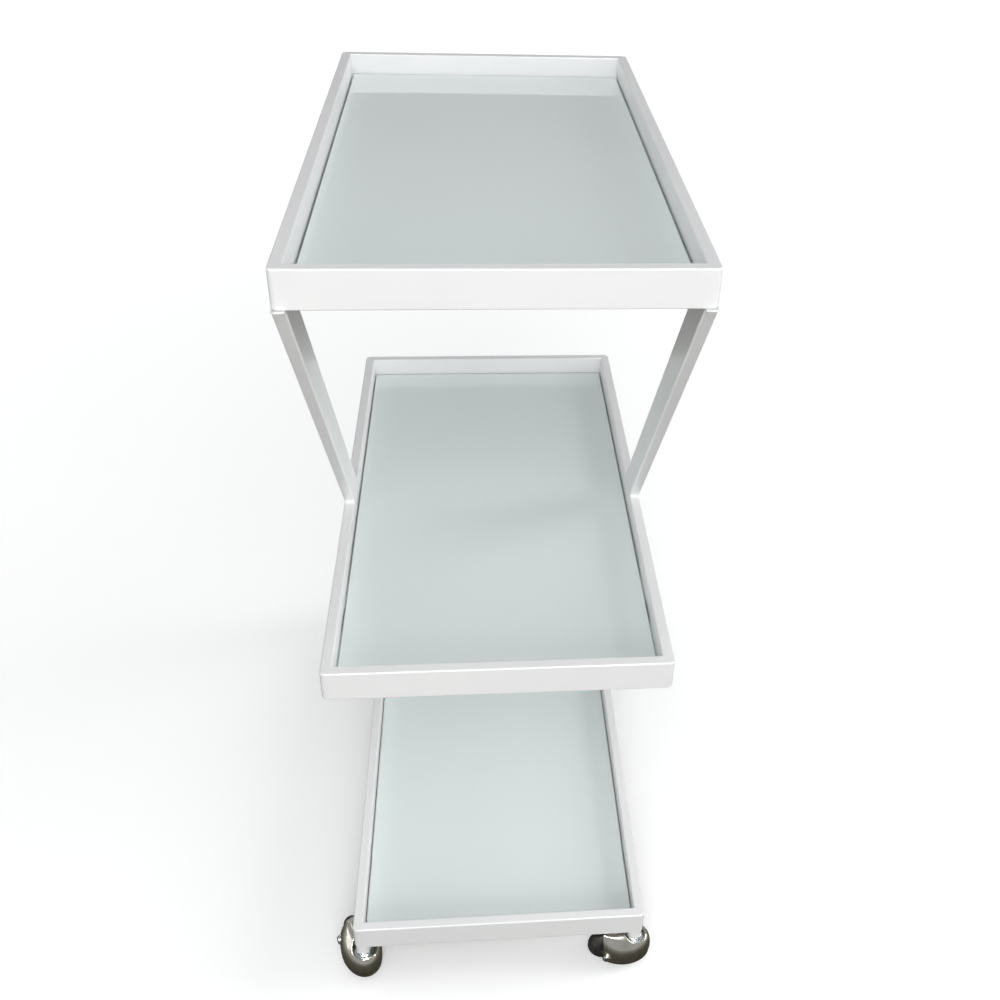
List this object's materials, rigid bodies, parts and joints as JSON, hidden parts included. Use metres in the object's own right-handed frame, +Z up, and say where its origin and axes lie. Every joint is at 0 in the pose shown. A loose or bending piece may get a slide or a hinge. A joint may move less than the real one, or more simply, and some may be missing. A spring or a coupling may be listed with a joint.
{
  "type": "rolling salon trolley",
  "caption": "Open three-tier trolley of white square-cut tube with slanting Z side struts, milky glass shelves in raised tray rims and small chrome hooded casters.",
  "frame": {"origin": "on the floor, under the middle of the trolley", "axes": "+Z up, +X to the right seen from the front, front at -Y"},
  "size_m": [0.3468, 0.5654, 0.807],
  "materials": {
    "white_powder_coat": "semi-gloss white powder coat on steel tube",
    "milky_glass": "milky grey-green white glass, glossy",
    "clear_silicone": "clear soft silicone",
    "zinc_steel": "bright zinc plated",
    "hood_chrome": "polished dark chrome",
    "black_plastic": "moulded black nylon",
    "tyre_rubber": "dark rubber, slightly worn"
  },
  "bodies": {
    "frame": {"bottom_tray_front_rail": "white_powder_coat", "bottom_tray_back_rail": "white_powder_coat", "bottom_tray_left_rail": "white_powder_coat", "bottom_tray_right_rail": "white_powder_coat", "bottom_tray_glass_lugs": "white_powder_coat", "bottom_tray_glass_pads": "clear_silicone", "middle_tray_front_rail": "white_powder_coat", "middle_tray_back_rail": "white_powder_coat", "middle_tray_left_rail": "white_powder_coat", "middle_tray_right_rail": "white_powder_coat", "middle_tray_glass_lugs": "white_powder_coat", "middle_tray_glass_pads": "clear_silicone", "top_tray_front_rail": "white_powder_coat", "top_tray_back_rail": "white_powder_coat", "top_tray_left_rail": "white_powder_coat", "top_tray_right_rail": "white_powder_coat", "top_tray_glass_lugs": "white_powder_coat", "top_tray_glass_pads": "clear_silicone", "upper_left_strut": "white_powder_coat", "lower_left_strut": "white_powder_coat", "upper_right_strut": "white_powder_coat", "lower_right_strut": "white_powder_coat", "caster_bosses": "white_powder_coat", "front_left_caster_stem": "zinc_steel", "front_right_caster_stem": "zinc_steel", "back_left_caster_stem": "zinc_steel", "back_right_caster_stem": "zinc_steel"},
    "bottom_glass": {"bottom_glass_shelf": "milky_glass"},
    "middle_glass": {"middle_glass_shelf": "milky_glass"},
    "top_glass": {"top_glass_shelf": "milky_glass"},
    "front_left_swivel": {"front_left_caster_hood": "hood_chrome", "front_left_caster_swivel_cup": "zinc_steel", "front_left_caster_swivel_balls": "zinc_steel", "front_left_caster_axle": "zinc_steel", "front_left_caster_axle_spacers": "zinc_steel"},
    "front_left_wheel": {"front_left_caster_wheel_hub": "black_plastic", "front_left_caster_tyre": "tyre_rubber"},
    "front_right_swivel": {"front_right_caster_hood": "hood_chrome", "front_right_caster_swivel_cup": "zinc_steel", "front_right_caster_swivel_balls": "zinc_steel", "front_right_caster_axle": "zinc_steel", "front_right_caster_axle_spacers": "zinc_steel"},
    "front_right_wheel": {"front_right_caster_wheel_hub": "black_plastic", "front_right_caster_tyre": "tyre_rubber"},
    "back_left_swivel": {"back_left_caster_hood": "hood_chrome", "back_left_caster_swivel_cup": "zinc_steel", "back_left_caster_swivel_balls": "zinc_steel", "back_left_caster_axle": "zinc_steel", "back_left_caster_axle_spacers": "zinc_steel"},
    "back_left_wheel": {"back_left_caster_wheel_hub": "black_plastic", "back_left_caster_tyre": "tyre_rubber"},
    "back_right_swivel": {"back_right_caster_hood": "hood_chrome", "back_right_caster_swivel_cup": "zinc_steel", "back_right_caster_swivel_balls": "zinc_steel", "back_right_caster_axle": "zinc_steel", "back_right_caster_axle_spacers": "zinc_steel"},
    "back_right_wheel": {"back_right_caster_wheel_hub": "black_plastic", "back_right_caster_tyre": "tyre_rubber"}
  },
  "joints": [
    {"name": "bottom_glass_lift", "type": "slide", "parent": "frame", "child": "bottom_glass", "axis": [0, 0, 1], "range_m": [0, 0.15]},
    {"name": "middle_glass_lift", "type": "slide", "parent": "frame", "child": "middle_glass", "axis": [0, 0, 1], "range_m": [0, 0.15]},
    {"name": "top_glass_lift", "type": "slide", "parent": "frame", "child": "top_glass", "axis": [0, 0, 1], "range_m": [0, 0.15]},
    {"name": "front_left_caster_turn", "type": "hinge", "parent": "frame", "child": "front_left_swivel", "pos_m": [-0.142, -0.262, 0], "axis": [0, 0, 1], "continuous": true},
    {"name": "front_left_wheel_roll", "type": "hinge", "parent": "front_left_swivel", "child": "front_left_wheel", "pos_m": [-0.15468, -0.23481, 0.0185], "axis": [-0.9063, -0.4226, 0], "continuous": true},
    {"name": "front_right_caster_turn", "type": "hinge", "parent": "frame", "child": "front_right_swivel", "pos_m": [0.142, -0.262, 0], "axis": [0, 0, 1], "continuous": true},
    {"name": "front_right_wheel_roll", "type": "hinge", "parent": "front_right_swivel", "child": "front_right_wheel", "pos_m": [0.112, -0.26252, 0.0185], "axis": [0.0175, -0.9998, 0], "continuous": true},
    {"name": "back_left_caster_turn", "type": "hinge", "parent": "frame", "child": "back_left_swivel", "pos_m": [-0.142, 0.262, 0], "axis": [0, 0, 1], "continuous": true},
    {"name": "back_left_wheel_roll", "type": "hinge", "parent": "back_left_swivel", "child": "back_left_wheel", "pos_m": [-0.112, 0.26252, 0.0185], "axis": [-0.0175, 0.9998, 0], "continuous": true},
    {"name": "back_right_caster_turn", "type": "hinge", "parent": "frame", "child": "back_right_swivel", "pos_m": [0.142, 0.262, 0], "axis": [0, 0, 1], "continuous": true},
    {"name": "back_right_wheel_roll", "type": "hinge", "parent": "back_right_swivel", "child": "back_right_wheel", "pos_m": [0.15468, 0.23481, 0.0185], "axis": [0.9063, 0.4226, 0], "continuous": true}
  ]
}
